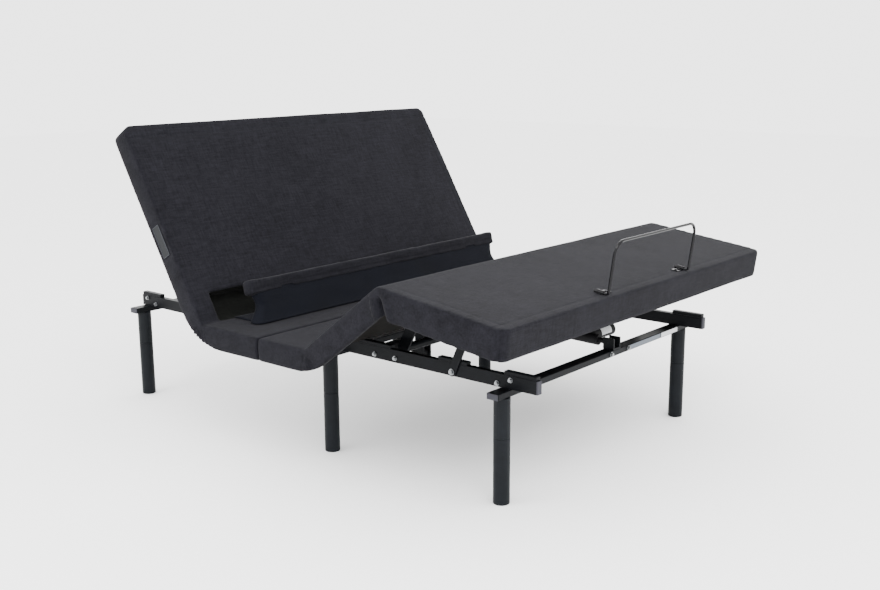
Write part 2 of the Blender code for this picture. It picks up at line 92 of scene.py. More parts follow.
class Plane:
    """Axes of a deck section: l along it towards the head, n out of its top."""

    def __init__(self, y, z, angle):
        self.y, self.z, self.angle = y, z, angle
        self.cos, self.sin = math.cos(angle), math.sin(angle)

    def at(self, l, n):
        return (self.y + l * self.cos - n * self.sin, self.z + l * self.sin + n * self.cos)

    def point(self, x, l, n):
        return Vector((x, *self.at(l, n)))

    def local(self, co):
        """(l, n) of an array of points."""
        dy, dz = co[:, 1] - self.y, co[:, 2] - self.z
        return dy * self.cos + dz * self.sin, dz * self.cos - dy * self.sin

    def back(self, x, l, n):
        return np.stack([x, self.y + l * self.cos - n * self.sin,
                         self.z + l * self.sin + n * self.cos], axis=1)

    def along(self):
        return self.point(0, 1, 0) - self.point(0, 0, 0)

    def up(self):
        return self.point(0, 0, 1) - self.point(0, 0, 0)

    def matrix(self, x, l, n):
        return Matrix.Translation(self.point(x, l, n)) @ Matrix.Rotation(self.angle, 4, "X")


def joint_plane(name, angle):
    place = JOINTS[name]["pos_m"]
    return Plane(place[1], place[2], angle)


BACK_ANGLE = math.radians(-JOINTS["back_hinge"]["range_deg"][0])
THIGH_ANGLE = math.radians(-JOINTS["thigh_hinge"]["range_deg"][0])
KNEE_TURN = RATIOS["knee_hinge"] * THIGH_ANGLE
TILT = RATIOS["lumbar_tilt"] * JOINTS["lumbar_slide"]["range_m"][0]
BACK = joint_plane("back_hinge", BACK_ANGLE)
THIGH = joint_plane("thigh_hinge", -THIGH_ANGLE)
CALF = joint_plane("knee_hinge", KNEE_TURN - THIGH_ANGLE)
RIDGE = joint_plane("lumbar_tilt", BACK_ANGLE - TILT)

SEAT_LOW, SEAT_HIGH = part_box("seat_pad_foot")
TOP = SEAT_HIGH[2]
HALF = SEAT_HIGH[0]
SPLIT = (SEAT_HIGH[1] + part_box("seat_pad_head")[0][1]) / 2
DEPTH = TOP - SEAT_LOW[2]
PAD = 0.0127
SKIRT = 0.022
BACK_LENGTH = 0.730
THIGH_LENGTH = 0.372
CALF_LENGTH = 0.440
CALF_TOP = 0.018                # above the knee hinge
CALF_DEPTH = 0.091
RECESS_HALF = 0.685
RECESS_TOP = 0.103
LINER_TUCK = 0.010              # the pan's rim between pad and board
ROD_X = 0.450                   # the lumbar rods, and the slots they pass through
SLOT_HALF = 0.0085
CLOTH = 0.0012
SPLIT_GAP = 0.002
LAP = 0.002                     # solids that become one skin overlap by this
END_LAP = 0.010
SEAM_WIDTH = 0.005
BACK_SEAM_END = 0.046           # the seams, from the end and sides of their section
BACK_SEAM_SIDE = 0.040
CALF_SEAM = 0.036
BACK_CORNER = 0.030
CALF_CORNER = 0.038
SIDE_SWELL = 0.0035
FOLD_REACH = 0.085
STITCH_GAP = 0.006              # from seam to stitching
STITCH_PITCH = 0.0075
STITCH = 0.0052
BAR_RADIUS = 0.0045
MOTOR_RADIUS = 0.0214
RAIL_LOW, RAIL_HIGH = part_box("side_rail_right")
MEMBER_LOW, MEMBER_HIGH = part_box("cross_member_foot")


# ---- materials ----

class Nodes:
    """Short calls to lay out a material's nodes."""

    def __init__(self, name):
        self.material = bpy.data.materials.new(name)
        self.material.use_nodes = True
        self.tree = self.material.node_tree
        self.shader = self.tree.nodes["Principled BSDF"]
        self.place = self.node("ShaderNodeTexCoord").outputs["Object"]

    def node(self, kind, **values):
        node = self.tree.nodes.new(kind)
        for key, value in values.items():
            setattr(node, key, value)
        return node

    def feed(self, node, **inputs):
        for key, value in inputs.items():
            socket = node.inputs[int(key[1:])] if key[0] == "i" and key[1:].isdigit() else node.inputs[key]
            if isinstance(value, bpy.types.NodeSocket):
                self.tree.links.new(value, socket)
            else:
                socket.default_value = value
        return node

    def stretched(self, scale):
        return self.feed(self.node("ShaderNodeMapping"), Vector=self.place, Scale=scale).outputs[0]

    def noise(self, scale, detail=3.0, rough=0.5, stretch=None):
        place = self.stretched(stretch) if stretch else self.place
        node = self.node("ShaderNodeTexNoise")
        self.feed(node, Vector=place, Scale=scale, Detail=detail, Roughness=rough)
        return node.outputs["Fac"]

    def math(self, kind, a, b):
        return self.feed(self.node("ShaderNodeMath", operation=kind), i0=a, i1=b).outputs[0]

    def ramp(self, value, low, high, start=0.0, end=1.0):
        node = self.node("ShaderNodeValToRGB")
        first, last = node.color_ramp.elements
        first.position, last.position = start, end
        first.color, last.color = (*low, 1), (*high, 1)
        self.feed(node, Fac=value)
        return node.outputs[0]

    def span(self, value, low, high):
        node = self.node("ShaderNodeMapRange")
        self.tree.links.new(value, node.inputs[0])
        node.inputs[3].default_value = low
        node.inputs[4].default_value = high
        return node.outputs[0]

    def bump(self, value, strength, distance, below=None):
        node = self.feed(self.node("ShaderNodeBump"), Height=value, Strength=strength, Distance=distance)
        if below:
            self.tree.links.new(below, node.inputs["Normal"])
        return node.outputs[0]

    def finish(self, color, rough, normal=None, **constants):
        self.feed(self.shader, **{"Base Color": color, "Roughness": rough})
        if normal:
            self.tree.links.new(normal, self.shader.inputs["Normal"])
        for key, value in constants.items():
            self.shader.inputs[key.replace("_", " ")].default_value = value
        return self.material


def linen(name, dark, light):
    """Woven cloth: slubby threads both ways, uneven dye and a soft sheen."""
    m = Nodes(name)
    warp = m.noise(1.0, 2.0, 0.6, (90, 900, 900))
    weft = m.noise(1.0, 2.0, 0.6, (900, 90, 700))
    weave = m.math("MULTIPLY", m.math("ADD", warp, weft), 0.5)
    slubs = m.math("MULTIPLY", m.math("ADD", m.noise(1.0, 3.0, 0.7, (22, 170, 170)),
                                      m.noise(1.0, 3.0, 0.7, (170, 26, 26))), 0.5)
    cloud = m.noise(5.0, 4.0, 0.6)
    dye = m.math("ADD", m.math("MULTIPLY", slubs, 0.60), m.math("MULTIPLY", cloud, 0.15))
    tone = m.math("ADD", m.math("MULTIPLY", weave, 0.25), dye)
    color = m.ramp(tone, dark, light, 0.38, 0.62)
    normal = m.bump(weave, 0.55, 0.0012, m.bump(m.noise(38.0, 3.0), 0.18, 0.003))
    return m.finish(color, m.span(weave, 0.97, 0.80), normal, Sheen_Weight=0.02, Sheen_Roughness=0.5,
                    Specular_IOR_Level=0.06)


def stretch_knit(name):
    """Smooth elastic knit with fine upright ribs, its navy darkened as painted shade."""
    m = Nodes(name)
    ribs = m.feed(m.node("ShaderNodeTexWave"), Vector=m.place, Scale=210.0, Distortion=0.6,
                  Detail=1.0).outputs["Fac"]
    cloud = m.noise(7.0, 3.0)
    # painted shade: both tones sit below the knit's own navy to stand in for the shade low on the curtain
    color = m.ramp(m.math("ADD", m.math("MULTIPLY", ribs, 0.35), m.math("MULTIPLY", cloud, 0.65)),
                   (0.0010, 0.0013, 0.0026), (0.0030, 0.0036, 0.0066), 0.25, 0.75)
    return m.finish(color, m.span(cloud, 0.72, 0.88), m.bump(ribs, 0.25, 0.0006), Sheen_Weight=0.02,
                    Sheen_Roughness=0.4, Specular_IOR_Level=0.07)


def powder_coat(name, base, low, high, gloss=0.14):
    """Satin paint with orange peel, faint dust and rubbed patches."""
    m = Nodes(name)
    peel = m.noise(520.0, 2.0)
    wear = m.noise(9.0, 5.0, 0.7)
    scratches = m.noise(1.0, 3.0, 0.7, (60, 9, 60))
    mix = m.math("ADD", m.math("MULTIPLY", wear, 0.6), m.math("MULTIPLY", scratches, 0.4))
    color = m.ramp(mix, tuple(c * 0.75 for c in base), tuple(min(1, c * 1.6) for c in base), 0.3, 0.75)
    return m.finish(color, m.span(mix, low, high), m.bump(peel, 0.12, 0.0006), Specular_IOR_Level=gloss)


def moulded(name, base, rough=0.55):
    """Moulded plastic with a fine spark-eroded grain."""
    m = Nodes(name)
    grain = m.noise(900.0, 2.0, 0.6)
    cloud = m.noise(14.0, 3.0)
    color = m.ramp(cloud, tuple(c * 0.85 for c in base), tuple(c * 1.12 for c in base), 0.3, 0.7)
    return m.finish(color, m.span(grain, rough - 0.08, rough + 0.10), m.bump(grain, 0.3, 0.0004),
                    Specular_IOR_Level=0.12)


def zinc_plate(name):
    """Brushed zinc with a cloudy passivated coat."""
    m = Nodes(name)
    brushed = m.noise(1.0, 3.0, 0.6, (700, 60, 700))
    cloud = m.noise(40.0, 3.0)
    color = m.ramp(cloud, (0.15, 0.155, 0.165), (0.30, 0.31, 0.31), 0.3, 0.7)
    return m.finish(color, m.span(brushed, 0.22, 0.42), m.bump(brushed, 0.15, 0.0004), Metallic=1.0)


def shade_dark_board(name):
    """Plywood with painted shade: its near-black colour stands in for the shadow under the deck; long grain
    in the face and plies along the edge.
    """
    m = Nodes(name)
    grain = m.noise(1.0, 5.0, 0.65, (4, 130, 130))
    plies = m.feed(m.node("ShaderNodeTexWave", bands_direction="Z"), Vector=m.place, Scale=120.0,
                   Distortion=1.0).outputs["Fac"]
    tone = m.math("ADD", m.math("MULTIPLY", grain, 0.8), m.math("MULTIPLY", plies, 0.2))
    # painted shade: these near-black tones stand in for the shadow under the deck sections
    color = m.ramp(tone, (0.0024, 0.0023, 0.0022), (0.0120, 0.0108, 0.0098), 0.35, 0.7)
    return m.finish(color, m.span(grain, 0.75, 0.95), m.bump(grain, 0.25, 0.0008), Specular_IOR_Level=0.04)


def woven_label(name, base):
    """Fine matt threads of one colour, with nothing on them."""
    m = Nodes(name)
    threads = m.noise(1.0, 2.0, 0.6, (1500, 300, 1500))
    color = m.ramp(threads, tuple(c * 0.8 for c in base), tuple(min(1, c * 1.15) for c in base), 0.35, 0.65)
    return m.finish(color, m.span(threads, 0.45, 0.65), m.bump(threads, 0.3, 0.0004),
                    Specular_IOR_Level=0.15)


LINEN = linen("charcoal_linen", (0.0018, 0.0018, 0.0028), (0.0094, 0.0092, 0.0122))
LINER = linen("recess_liner_cloth", (0.0022, 0.0024, 0.0021), (0.0056, 0.0060, 0.0052))
NAVY = stretch_knit("navy_stretch_knit")
STEEL = powder_coat("satin_black_powder_coat", (0.0034, 0.0038, 0.0046), 0.28, 0.44, 0.05)
LEG = powder_coat("leg_black_powder_coat", (0.0044, 0.0052, 0.0064), 0.34, 0.50, 0.07)
ROD = powder_coat("gloss_black_rod", (0.0034, 0.0034, 0.0040), 0.10, 0.20, 0.12)
GREY = moulded("grey_moulding", (0.026, 0.026, 0.032))
BLACK = moulded("black_moulding", (0.0060, 0.0060, 0.0068))
ZINC = zinc_plate("zinc_plate")
BOARD = shade_dark_board("shade_dark_plywood")
SILVER = woven_label("silver_grey_label", (0.110, 0.125, 0.145))
TAG = woven_label("dark_woven_tag", (0.0056, 0.0064, 0.0078))
TAG_EDGE = woven_label("tag_border_thread", (0.030, 0.033, 0.039))
WHITE = woven_label("blank_white_label", (0.520, 0.530, 0.540))
THREAD = woven_label("charcoal_thread", (0.0070, 0.0068, 0.0090))


# ---- mesh helpers ----

def new_object(name, bm, material):
    """A linked object made of the built mesh."""
    mesh = bpy.data.meshes.new(name)
    bm.to_mesh(mesh)
    bm.free()
    thing = bpy.data.objects.new(name, mesh)
    mesh.materials.append(material)
    bpy.context.scene.collection.objects.link(thing)
    return thing


def applied(thing):
    """Replace the object's mesh by its evaluated one and drop its modifiers."""
    graph = bpy.context.evaluated_depsgraph_get()
    mesh = bpy.data.meshes.new_from_object(thing.evaluated_get(graph))
    thing.modifiers.clear()
    thing.data = mesh
    return thing


def flat_extent(name, plane):
    """A CAD node's low and high (l, n) in a plane's axes, from its vertices."""
    l, n = plane.local(coordinates(frame["nodes"][name].data))
    return (l.min(), n.min()), (l.max(), n.max())


def coordinates(mesh):
    co = np.empty(len(mesh.vertices) * 3)
    mesh.vertices.foreach_get("co", co)
    return co.reshape(-1, 3)


def normals(mesh):
    values = np.empty(len(mesh.vertices) * 3)
    mesh.vertex_normals.foreach_get("vector", values)
    return values.reshape(-1, 3)


def set_coordinates(mesh, co):
    mesh.vertices.foreach_set("co", co.reshape(-1))
    mesh.update()


def noise_of(co, size, offset=0.0):
    """Smooth noise from -1 to 1 at each point, with features of about that size."""
    scaled = co / size + offset
    return np.array([noise.noise(Vector(p)) for p in scaled])


def step(value, low, high):
    t = np.clip((value - low) / (high - low), 0, 1)
    return t * t * (3 - 2 * t)


def prism(bm, outline, x_low, x_high):
    """A solid from an outline in YZ, between two X planes."""
    first = [bm.verts.new((x_low, y, z)) for y, z in outline]
    last = [bm.verts.new((x_high, y, z)) for y, z in outline]
    bm.faces.new(first)
    bm.faces.new(list(reversed(last)))
    for i in range(len(outline)):
        j = (i + 1) % len(outline)
        bm.faces.new((first[j], first[i], last[i], last[j]))


def arc(centre, radius, start, end, steps=10):
    return [(centre[0] + radius * math.cos(start + (end - start) * i / steps),
             centre[1] + radius * math.sin(start + (end - start) * i / steps)) for i in range(steps + 1)]


def skin_rows(bm, rows, open_at=None):
    """Faces between rows of points, all of one length; open_at(row, place) leaves one out."""
    lines = [[bm.verts.new(p) for p in row] for row in rows]
    for r, (a, b) in enumerate(zip(lines, lines[1:])):
        for i in range(len(a) - 1):
            if not (open_at and open_at(r, i)):
                bm.faces.new((a[i], a[i + 1], b[i + 1], b[i]))


def thickened(thing, thickness, offset=0.0):
    """Give a surface the thickness of its cloth or paper."""
    solid = thing.modifiers.new("thickness", "SOLIDIFY")
    solid.thickness = thickness
    solid.offset = offset
    applied(thing)
    return thing


def grown(name, bm, voxel, smoothing):
    """One skin round overlapping solids, with its edges softened."""
    bmesh.ops.recalc_face_normals(bm, faces=bm.faces)
    thing = new_object(name, bm, LINEN)
    remesh = thing.modifiers.new("skin", "REMESH")
    remesh.mode = "VOXEL"
    remesh.voxel_size = voxel
    soften = thing.modifiers.new("soften", "SMOOTH")
    soften.factor = 0.5
    soften.iterations = smoothing
    return applied(thing)


# ---- upholstered deck ----

BEND_RADIUS = 0.235


def wide_bend(plane, radius, start, end):
    """The skirt's lower edge round a hinge: an arc that is tangent to both sections' undersides."""
    middle = (start + end) / 2
    reach = (radius - DEPTH) / math.cos((end - start) / 2)
    centre = (plane.y - reach * math.cos(middle), plane.z - reach * math.sin(middle))
    return arc(centre, radius, start, end)


VOXEL = 0.005
SMOOTHING = 10


def cloth_relief(co, nrm):
    """Slight unevenness of stretched cloth over foam."""
    slow = noise_of(co, 0.22) * 0.0011
    fast = noise_of(co * np.array([1.0, 0.6, 1.0]), 0.055, 7.3) * 0.0004
    return co + nrm * (slow + fast)[:, None]


def groove(distance, width, depth):
    """A sewn channel: how far the cloth is drawn in at a distance from the seam."""
    return -depth * np.exp(-(distance / width) ** 2)


def round_corner(x, l, end, radius):
    """Round the corner of a section in its own plane; end is its last l."""
    side = np.sign(end) if end else 1.0
    dx = np.abs(x) - (HALF - radius)
    dl = (l - (end - side * radius)) * side
    inside = (dx > 0) & (dl > 0)
    size = np.hypot(dx, dl)
    scale = np.where(inside, np.maximum(dx, dl) / np.maximum(size, 1e-9), 1.0)
    new_x = np.where(inside, np.sign(x) * (HALF - radius + dx * scale), x)
    new_l = np.where(inside, (end - side * radius) + side * dl * scale, l)
    return new_x, new_l


def side_bulge(co, depth_share, amount):
    """Sides of a section swell between its top and bottom edges."""
    near = step(np.abs(co[:, 0]), HALF - 0.014, HALF - 0.004)
    bulge = np.sin(np.pi * np.clip(depth_share, 0, 1)) * amount * near
    return np.sign(co[:, 0]) * bulge


def fold_fan(co, plane, start, end, count, reach, amount):
    """Folds in the side cloth that fan out from a hinge."""
    dy, dz = co[:, 1] - plane.y, co[:, 2] - plane.z
    radius = np.hypot(dy, dz)
    turn = np.arctan2(dz, dy)
    share = (turn - start) / (end - start)
    inside = step(share, -0.6, 0.1) * (1 - step(share, 0.9, 1.6))
    wave = np.cos(share * count * 2 * np.pi + 9 * radius)
    fade = step(radius, 0.010, 0.035) * (1 - step(radius, reach * 0.6, reach))
    near = step(np.abs(co[:, 0]), HALF - 0.016, HALF - 0.006)
    return np.sign(co[:, 0]) * near * inside * fade * wave * amount


def press_flat(mesh):
    """The sewn tag holds the side cloth flat under it."""
    co = coordinates(mesh)
    tag = BACK.local(coordinates(frame["nodes"]["side_tag"].data))
    away = [np.abs(place - (edge.min() + edge.max()) / 2) - np.ptp(edge) / 2
            for place, edge in zip(BACK.local(co), tag)]
    hold = 1 - step(np.maximum(*away), 0.004, 0.024)
    outside = co[:, 0] < -HALF + 0.012
    flat = np.maximum(co[:, 0], -HALF + 0.0004)
    co[:, 0] = np.where(outside, co[:, 0] + (flat - co[:, 0]) * hold, co[:, 0])
    set_coordinates(mesh, co)


def mesh_update(mesh, co):
    """Write a cover's shaped points, then add the cloth's unevenness."""
    set_coordinates(mesh, co)
    set_coordinates(mesh, cloth_relief(coordinates(mesh), normals(mesh)))
    mesh.shade_smooth()


def head_part():
    """Head half of the seat and the back, one cover that bends at the back hinge."""
    split = SPLIT + SPLIT_GAP
    bottom = TOP - DEPTH
    bend = wide_bend(BACK, BEND_RADIUS, -math.pi / 2, BACK_ANGLE - math.pi / 2)
    skirt = [(split, TOP), (split, bottom)] + bend + [BACK.at(BACK_LENGTH, -DEPTH), BACK.at(BACK_LENGTH, 0),
                                                      BACK.at(0, 0)]
    thin_bend = arc((BACK.y, BACK.z), PAD, -math.pi / 2, BACK_ANGLE - math.pi / 2, 6)
    slab = [(split, TOP), (split, TOP - PAD)] + thin_bend + [BACK.at(BACK_LENGTH - END_LAP, -PAD),
                                                             BACK.at(BACK_LENGTH - END_LAP, 0), BACK.at(0, 0)]
    seat_only = [(split, TOP), (split, TOP - PAD), (BACK.y, TOP - PAD), (BACK.y, TOP)]
    back_only = [BACK.at(RECESS_TOP, 0), BACK.at(RECESS_TOP, -PAD), BACK.at(BACK_LENGTH - END_LAP, -PAD),
                 BACK.at(BACK_LENGTH - END_LAP, 0)]
    end = [BACK.at(BACK_LENGTH - SKIRT, 0), BACK.at(BACK_LENGTH - SKIRT, -DEPTH),
           BACK.at(BACK_LENGTH, -DEPTH), BACK.at(BACK_LENGTH, 0)]
    bm = bmesh.new()
    for side in (-1, 1):
        prism(bm, skirt, *sorted((side * (HALF - SKIRT), side * HALF)))
        prism(bm, slab, *sorted((side * RECESS_HALF, side * (HALF - LAP))))
    prism(bm, seat_only, -RECESS_HALF - LAP, RECESS_HALF + 0.002)
    prism(bm, back_only, -RECESS_HALF - LAP, RECESS_HALF + 0.002)
    prism(bm, end, -HALF + LAP, HALF - LAP)
    pad = grown("back_and_seat_cover", bm, VOXEL, SMOOTHING)
    mesh = pad.data
    co, nrm = coordinates(mesh), normals(mesh)
    l, n = BACK.local(co)
    on_back = step(l, 0.02, 0.10)
    top_face = step(n, -0.010, -0.004)
    end_seam = BACK_LENGTH - BACK_SEAM_END
    seam = groove(l - end_seam, SEAM_WIDTH, 0.0010)
    along_side = (l > 0.16) * (l < end_seam)
    seam += groove(np.abs(co[:, 0]) - (HALF - BACK_SEAM_SIDE), SEAM_WIDTH, 0.0008) * along_side
    co = co + nrm * (seam * on_back * top_face)[:, None]
    x, new_l = round_corner(co[:, 0], BACK.local(co)[0], BACK_LENGTH, BACK_CORNER)
    keep = l > 0.5
    moved = BACK.back(x, new_l, BACK.local(co)[1])
    co = np.where(keep[:, None], moved, co)
    radius = np.hypot(co[:, 1] - BACK.y, co[:, 2] - BACK.z)
    seat_share = (TOP - co[:, 2]) / DEPTH
    share = np.where(co[:, 1] < BACK.y, seat_share, np.where(l > 0, -n / DEPTH, radius / DEPTH))
    co[:, 0] += side_bulge(co, share, SIDE_SWELL)
    co[:, 0] += fold_fan(co, BACK, -math.pi / 2, BACK_ANGLE - math.pi / 2, 3.5, FOLD_REACH, 0.0032)
    mesh_update(mesh, co)
    press_flat(mesh)
    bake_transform(pad)
    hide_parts("seat_pad_head", "back_pad")


def cut_plane(source, name, point, normal, keep_positive):
    """The half of a closed mesh on one side of a plane, closed again."""
    bm = bmesh.new()
    bm.from_mesh(source)
    parts = bm.verts[:] + bm.edges[:] + bm.faces[:]
    result = bmesh.ops.bisect_plane(bm, geom=parts, plane_co=point, plane_no=normal,
                                    clear_inner=keep_positive, clear_outer=not keep_positive)
    rim = [e for e in result["geom_cut"] if isinstance(e, bmesh.types.BMEdge)]
    bmesh.ops.holes_fill(bm, edges=rim, sides=0)
    thing = new_object(name, bm, LINEN)
    thing.data.shade_smooth()
    return thing


def foot_part():
    """Foot half of the seat, the thigh section and the calf section."""
    split = SPLIT - SPLIT_GAP
    bottom = TOP - DEPTH
    bend = wide_bend(THIGH, BEND_RADIUS, -math.pi / 2, -math.pi / 2 - THIGH_ANGLE)
    knee = arc((CALF.y, CALF.z), CALF_TOP, math.pi / 2 - THIGH_ANGLE, math.pi / 2 + CALF.angle, 8)
    half_turn = KNEE_TURN / 2
    thigh_under = THIGH.at(-THIGH_LENGTH + (DEPTH - CALF_TOP) * math.tan(half_turn), -DEPTH)
    calf_under = CALF.at(-(CALF_DEPTH - CALF_TOP) * math.tan(half_turn), CALF_TOP - CALF_DEPTH)
    foot_end = [CALF.at(-CALF_LENGTH, CALF_TOP - CALF_DEPTH), CALF.at(-CALF_LENGTH, CALF_TOP)]
    skirt = ([(split, bottom), (split, TOP), THIGH.at(0, 0)] + knee + list(reversed(foot_end))
             + [calf_under, thigh_under] + list(reversed(bend)))
    thin_bend = arc((THIGH.y, THIGH.z), PAD, -math.pi / 2, -math.pi / 2 - THIGH_ANGLE, 6)
    thin_knee = arc((CALF.y, CALF.z), CALF_TOP - PAD, math.pi / 2 - THIGH_ANGLE, math.pi / 2 + CALF.angle, 4)
    slab = ([(split, TOP - PAD), (split, TOP), THIGH.at(0, 0)] + knee
            + [CALF.at(-CALF_LENGTH + END_LAP, CALF_TOP), CALF.at(-CALF_LENGTH + END_LAP, CALF_TOP - PAD)]
            + list(reversed(thin_knee)) + list(reversed(thin_bend)))
    end = [CALF.at(-CALF_LENGTH, CALF_TOP), CALF.at(-CALF_LENGTH, CALF_TOP - CALF_DEPTH),
           CALF.at(-CALF_LENGTH + SKIRT, CALF_TOP - CALF_DEPTH), CALF.at(-CALF_LENGTH + SKIRT, CALF_TOP)]
    bm = bmesh.new()
    for side in (-1, 1):
        prism(bm, skirt, *sorted((side * (HALF - SKIRT), side * HALF)))
    prism(bm, slab, -HALF + LAP, HALF - LAP)
    prism(bm, end, -HALF + LAP, HALF - LAP)
    whole = grown("foot_cover", bm, VOXEL, SMOOTHING)
    mesh = whole.data
    co, nrm = coordinates(mesh), normals(mesh)
    l, n = CALF.local(co)
    on_calf = step(-l, 0.02, 0.08)
    top_face = step(n, CALF_TOP - 0.010, CALF_TOP - 0.004)
    seam = groove(l + CALF_LENGTH - CALF_SEAM, SEAM_WIDTH, 0.0007)
    seam += groove(np.abs(co[:, 0]) - (HALF - CALF_SEAM), SEAM_WIDTH, 0.0006) * (l > -CALF_LENGTH + CALF_SEAM)
    co = co + nrm * (seam * on_calf * top_face)[:, None]
    x, new_l = round_corner(co[:, 0], CALF.local(co)[0], -CALF_LENGTH, CALF_CORNER)
    moved = CALF.back(x, new_l, CALF.local(co)[1])
    co = np.where((l < -0.30)[:, None], moved, co)
    thigh_l, thigh_n = THIGH.local(co)
    radius = np.hypot(co[:, 1] - THIGH.y, co[:, 2] - THIGH.z)
    share = np.where(co[:, 1] > THIGH.y, (TOP - co[:, 2]) / DEPTH,
                     np.where(l < 0, (CALF_TOP - n) / CALF_DEPTH,
                              np.where(thigh_l < 0, -thigh_n / DEPTH, radius / DEPTH)))
    co[:, 0] += side_bulge(co, share, SIDE_SWELL)
    co[:, 0] += fold_fan(co, THIGH, -math.pi / 2, -math.pi / 2 - THIGH_ANGLE, 3, FOLD_REACH, 0.0030)
    along = (THIGH.point(0, -1, 0) - THIGH.point(0, 0, 0)).normalized()
    along = (along + (CALF.point(0, -1, 0) - CALF.point(0, 0, 0)).normalized()).normalized()
    rel = (co - np.array([0, CALF.y, CALF.z])) @ np.array(along)
    below = step(-(co[:, 2] - CALF.z), -0.004, 0.040)
    edge = step(np.abs(co[:, 0]), HALF - 0.030, HALF - 0.006)
    pinch = np.exp(-((rel - 0.002) / 0.0080) ** 2) * 0.0200
    puff = (np.exp(-((rel - 0.026) / 0.012) ** 2) + np.exp(-((rel + 0.024) / 0.012) ** 2)) * 0.0040
    co[:, 0] += np.sign(co[:, 0]) * edge * below * (puff - pinch)
    mesh_update(mesh, co)
    joint = Vector((0, CALF.y, CALF.z)) - along * 0.034
    thigh_piece = cut_plane(mesh, "seat_and_thigh_cover", joint, along, False)
    calf_piece = cut_plane(mesh, "calf_cover", joint, along, True)
    bpy.data.objects.remove(whole, do_unlink=True)
    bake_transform(thigh_piece)
    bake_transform(calf_piece)
    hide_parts("seat_pad_foot", "thigh_pad")
    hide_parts("calf_pad")


# ---- lumbar support ----

def lumbar_ridge():
    """The padded, linen-wrapped board on the carriage."""
    low, high = flat_extent("lumbar_board", RIDGE)
    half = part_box("lumbar_board")[1][0] + 0.003
    inset = 0.0005
    bm = bmesh.new()
    droop = 0.006
    head, foot = high[0] - inset, low[0] + inset
    bottom, top = low[1] - droop, high[1] - inset
    outline = [RIDGE.at(l, n) for l, n in ((foot, bottom), (head, bottom), (head, top), (foot, top))]
    prism(bm, outline, -half, half)
    ridge = grown("lumbar_ridge", bm, 0.004, 4)
    mesh = ridge.data
    co, nrm = coordinates(mesh), normals(mesh)
    l, n = RIDGE.local(co)
    middle = (low[0] + high[0]) / 2
    crown = 0.0045 * np.cos(np.clip((l - middle) / (high[0] - low[0]), -0.5, 0.5) * np.pi)
    ears = 0.004 * step(np.abs(co[:, 0]), half - 0.060, half - 0.010)
    lift = noise_of(co * np.array([1.0, 1.6, 1.6]), 0.075) * 0.0016 + noise_of(co, 0.028, 3.1) * 0.0007
    channel = groove(n - (low[1] + 0.007), 0.003, 0.0016) * step(low[0] + 0.010 - l, 0.0, 0.004)
    co = co + nrm * (crown * 0.6 + ears * 0.5 + lift + channel + 0.0012)[:, None]
    l, n = RIDGE.local(co)
    off_rail = step(np.abs(np.abs(co[:, 0]) - (RAIL_LOW[0] + RAIL_HIGH[0]) / 2), 0.018, 0.045)
    co = RIDGE.back(co[:, 0], l, np.maximum(n, low[1] + 0.001 - 0.014 * off_rail))
    set_coordinates(mesh, co)
    mesh.shade_smooth()
    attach(ridge, "lumbar")
    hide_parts("lumbar_board")


def sleeve_outline(x_half, front, depth):
    """Plan of the sleeve at one height: a long loop with round ends, from the middle of its back."""
    run = x_half - depth / 2
    middle = front + depth / 2
    ends = [math.pi / 2 - math.pi * i / 12 for i in range(13)]
    right = [(run + depth / 2 * math.cos(t), middle + depth / 2 * math.sin(t)) for t in ends]
    back = [(run * i / 34, front + depth) for i in range(34)]
    fore = [(run * (1 - i / 34), front) for i in range(1, 35)]
    half = back + right + fore
    return half + [(-x, y) for x, y in reversed(half[:-1])]


def lumbar_sleeve():
    """Stretch curtain round the space under the ridge, with ends that curve in and flare at the seat."""
    low, high = flat_extent("lumbar_board", RIDGE)
    top_y, top_z = RIDGE.at(low[0] + 0.003, low[1] + 0.004)
    slope = math.tan(RIDGE.angle)
    foot_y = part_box("lumbar_sleeve")[0][1]
    foot_z = TOP + 0.0030
    rise = 26
    rows = []
    for i in range(rise + 1):
        v = i / rise
        front = foot_y + (top_y - foot_y) * v ** 0.8
        depth = (high[0] - low[0]) * (0.80 + 0.45 * (1 - v) ** 3)
        x_half = 0.632 + 0.022 * (1 - v) ** 4 - 0.012 * math.sin(math.pi * v) ** 2
        row = []
        for x, y in sleeve_outline(x_half, front, depth):
            level = top_z + slope * (y - top_y)
            ripple = noise.noise(Vector((x * 9, v * 2.5, y * 3))) * 0.0020 * math.sin(math.pi * v)
            near_end = float(step(np.array(abs(x)), 0.50, 0.62))
            pull = noise.noise(Vector((x * 40, v * 6, 4.2))) * 0.0014 * near_end
            row.append((x, y + ripple + pull, foot_z + (level - foot_z) * v))
        rows.append(row)
    bm = bmesh.new()
    skin_rows(bm, rows)
    bmesh.ops.remove_doubles(bm, verts=bm.verts, dist=0.00001)
    tail_start = foot_y + 0.010
    tail_run = BACK.y - 0.006 - tail_start
    skin_rows(bm, [[(x, tail_start + tail_run * k / 8, foot_z - 0.0004 + 0.0006 * math.sin(9 * x + k))
                    for x in np.linspace(-0.630, 0.630, 64)] for k in range(9)])
    sleeve = thickened(new_object("lumbar_curtain", bm, NAVY), CLOTH)
    sleeve.data.shade_smooth()
    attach(sleeve, "back")
    (BACK.point(0, -0.4, 0.92) - BACK.point(0, 0, 0)).normalized()
    BACK.point(0, 0.030, -0.040)
    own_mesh(sleeve)
    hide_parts("lumbar_sleeve")


